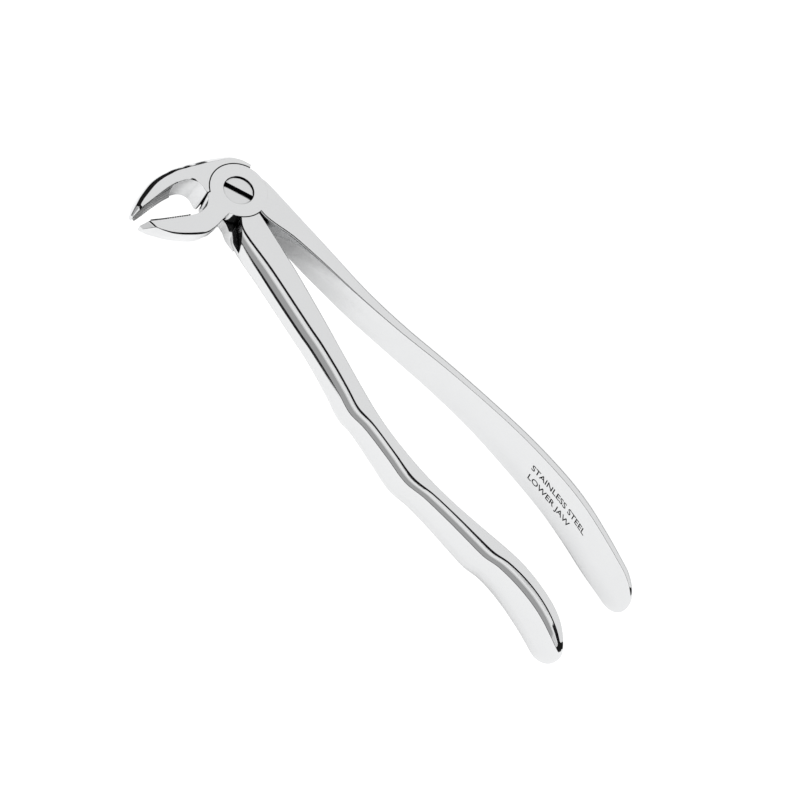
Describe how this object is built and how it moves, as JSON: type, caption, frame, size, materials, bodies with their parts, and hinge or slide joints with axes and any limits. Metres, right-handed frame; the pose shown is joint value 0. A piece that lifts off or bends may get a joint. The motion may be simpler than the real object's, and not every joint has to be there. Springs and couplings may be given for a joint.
{
  "type": "extraction forceps",
  "caption": "Dental extraction forceps for lower molars: two crossed steel members on a slotted screw, with hollow toothed beaks, a smooth handle and a finger-grooved handle.",
  "frame": {"origin": "on the hinge axis, in the plane of the flat back face of the joint", "axes": "+X along the handles to their ends, +Y the direction the tool opens in with the beaks on the -Y side, +Z along the hinge axis towards the screw head"},
  "size_m": [0.1812, 0.0558, 0.0204],
  "materials": {
    "front_steel": "high polish",
    "back_steel": "high polish",
    "screw_steel": "polished, head a little below the front face"
  },
  "bodies": {
    "back_half": {"back_member": "back_steel", "pivot_screw": "screw_steel"},
    "front_half": {"front_member": "front_steel"}
  },
  "joints": [
    {"name": "box_joint", "type": "hinge", "parent": "back_half", "child": "front_half", "pos_m": [0, 0, 0.0044], "axis": [0, 0, 1], "range_deg": [0, 22]}
  ]
}
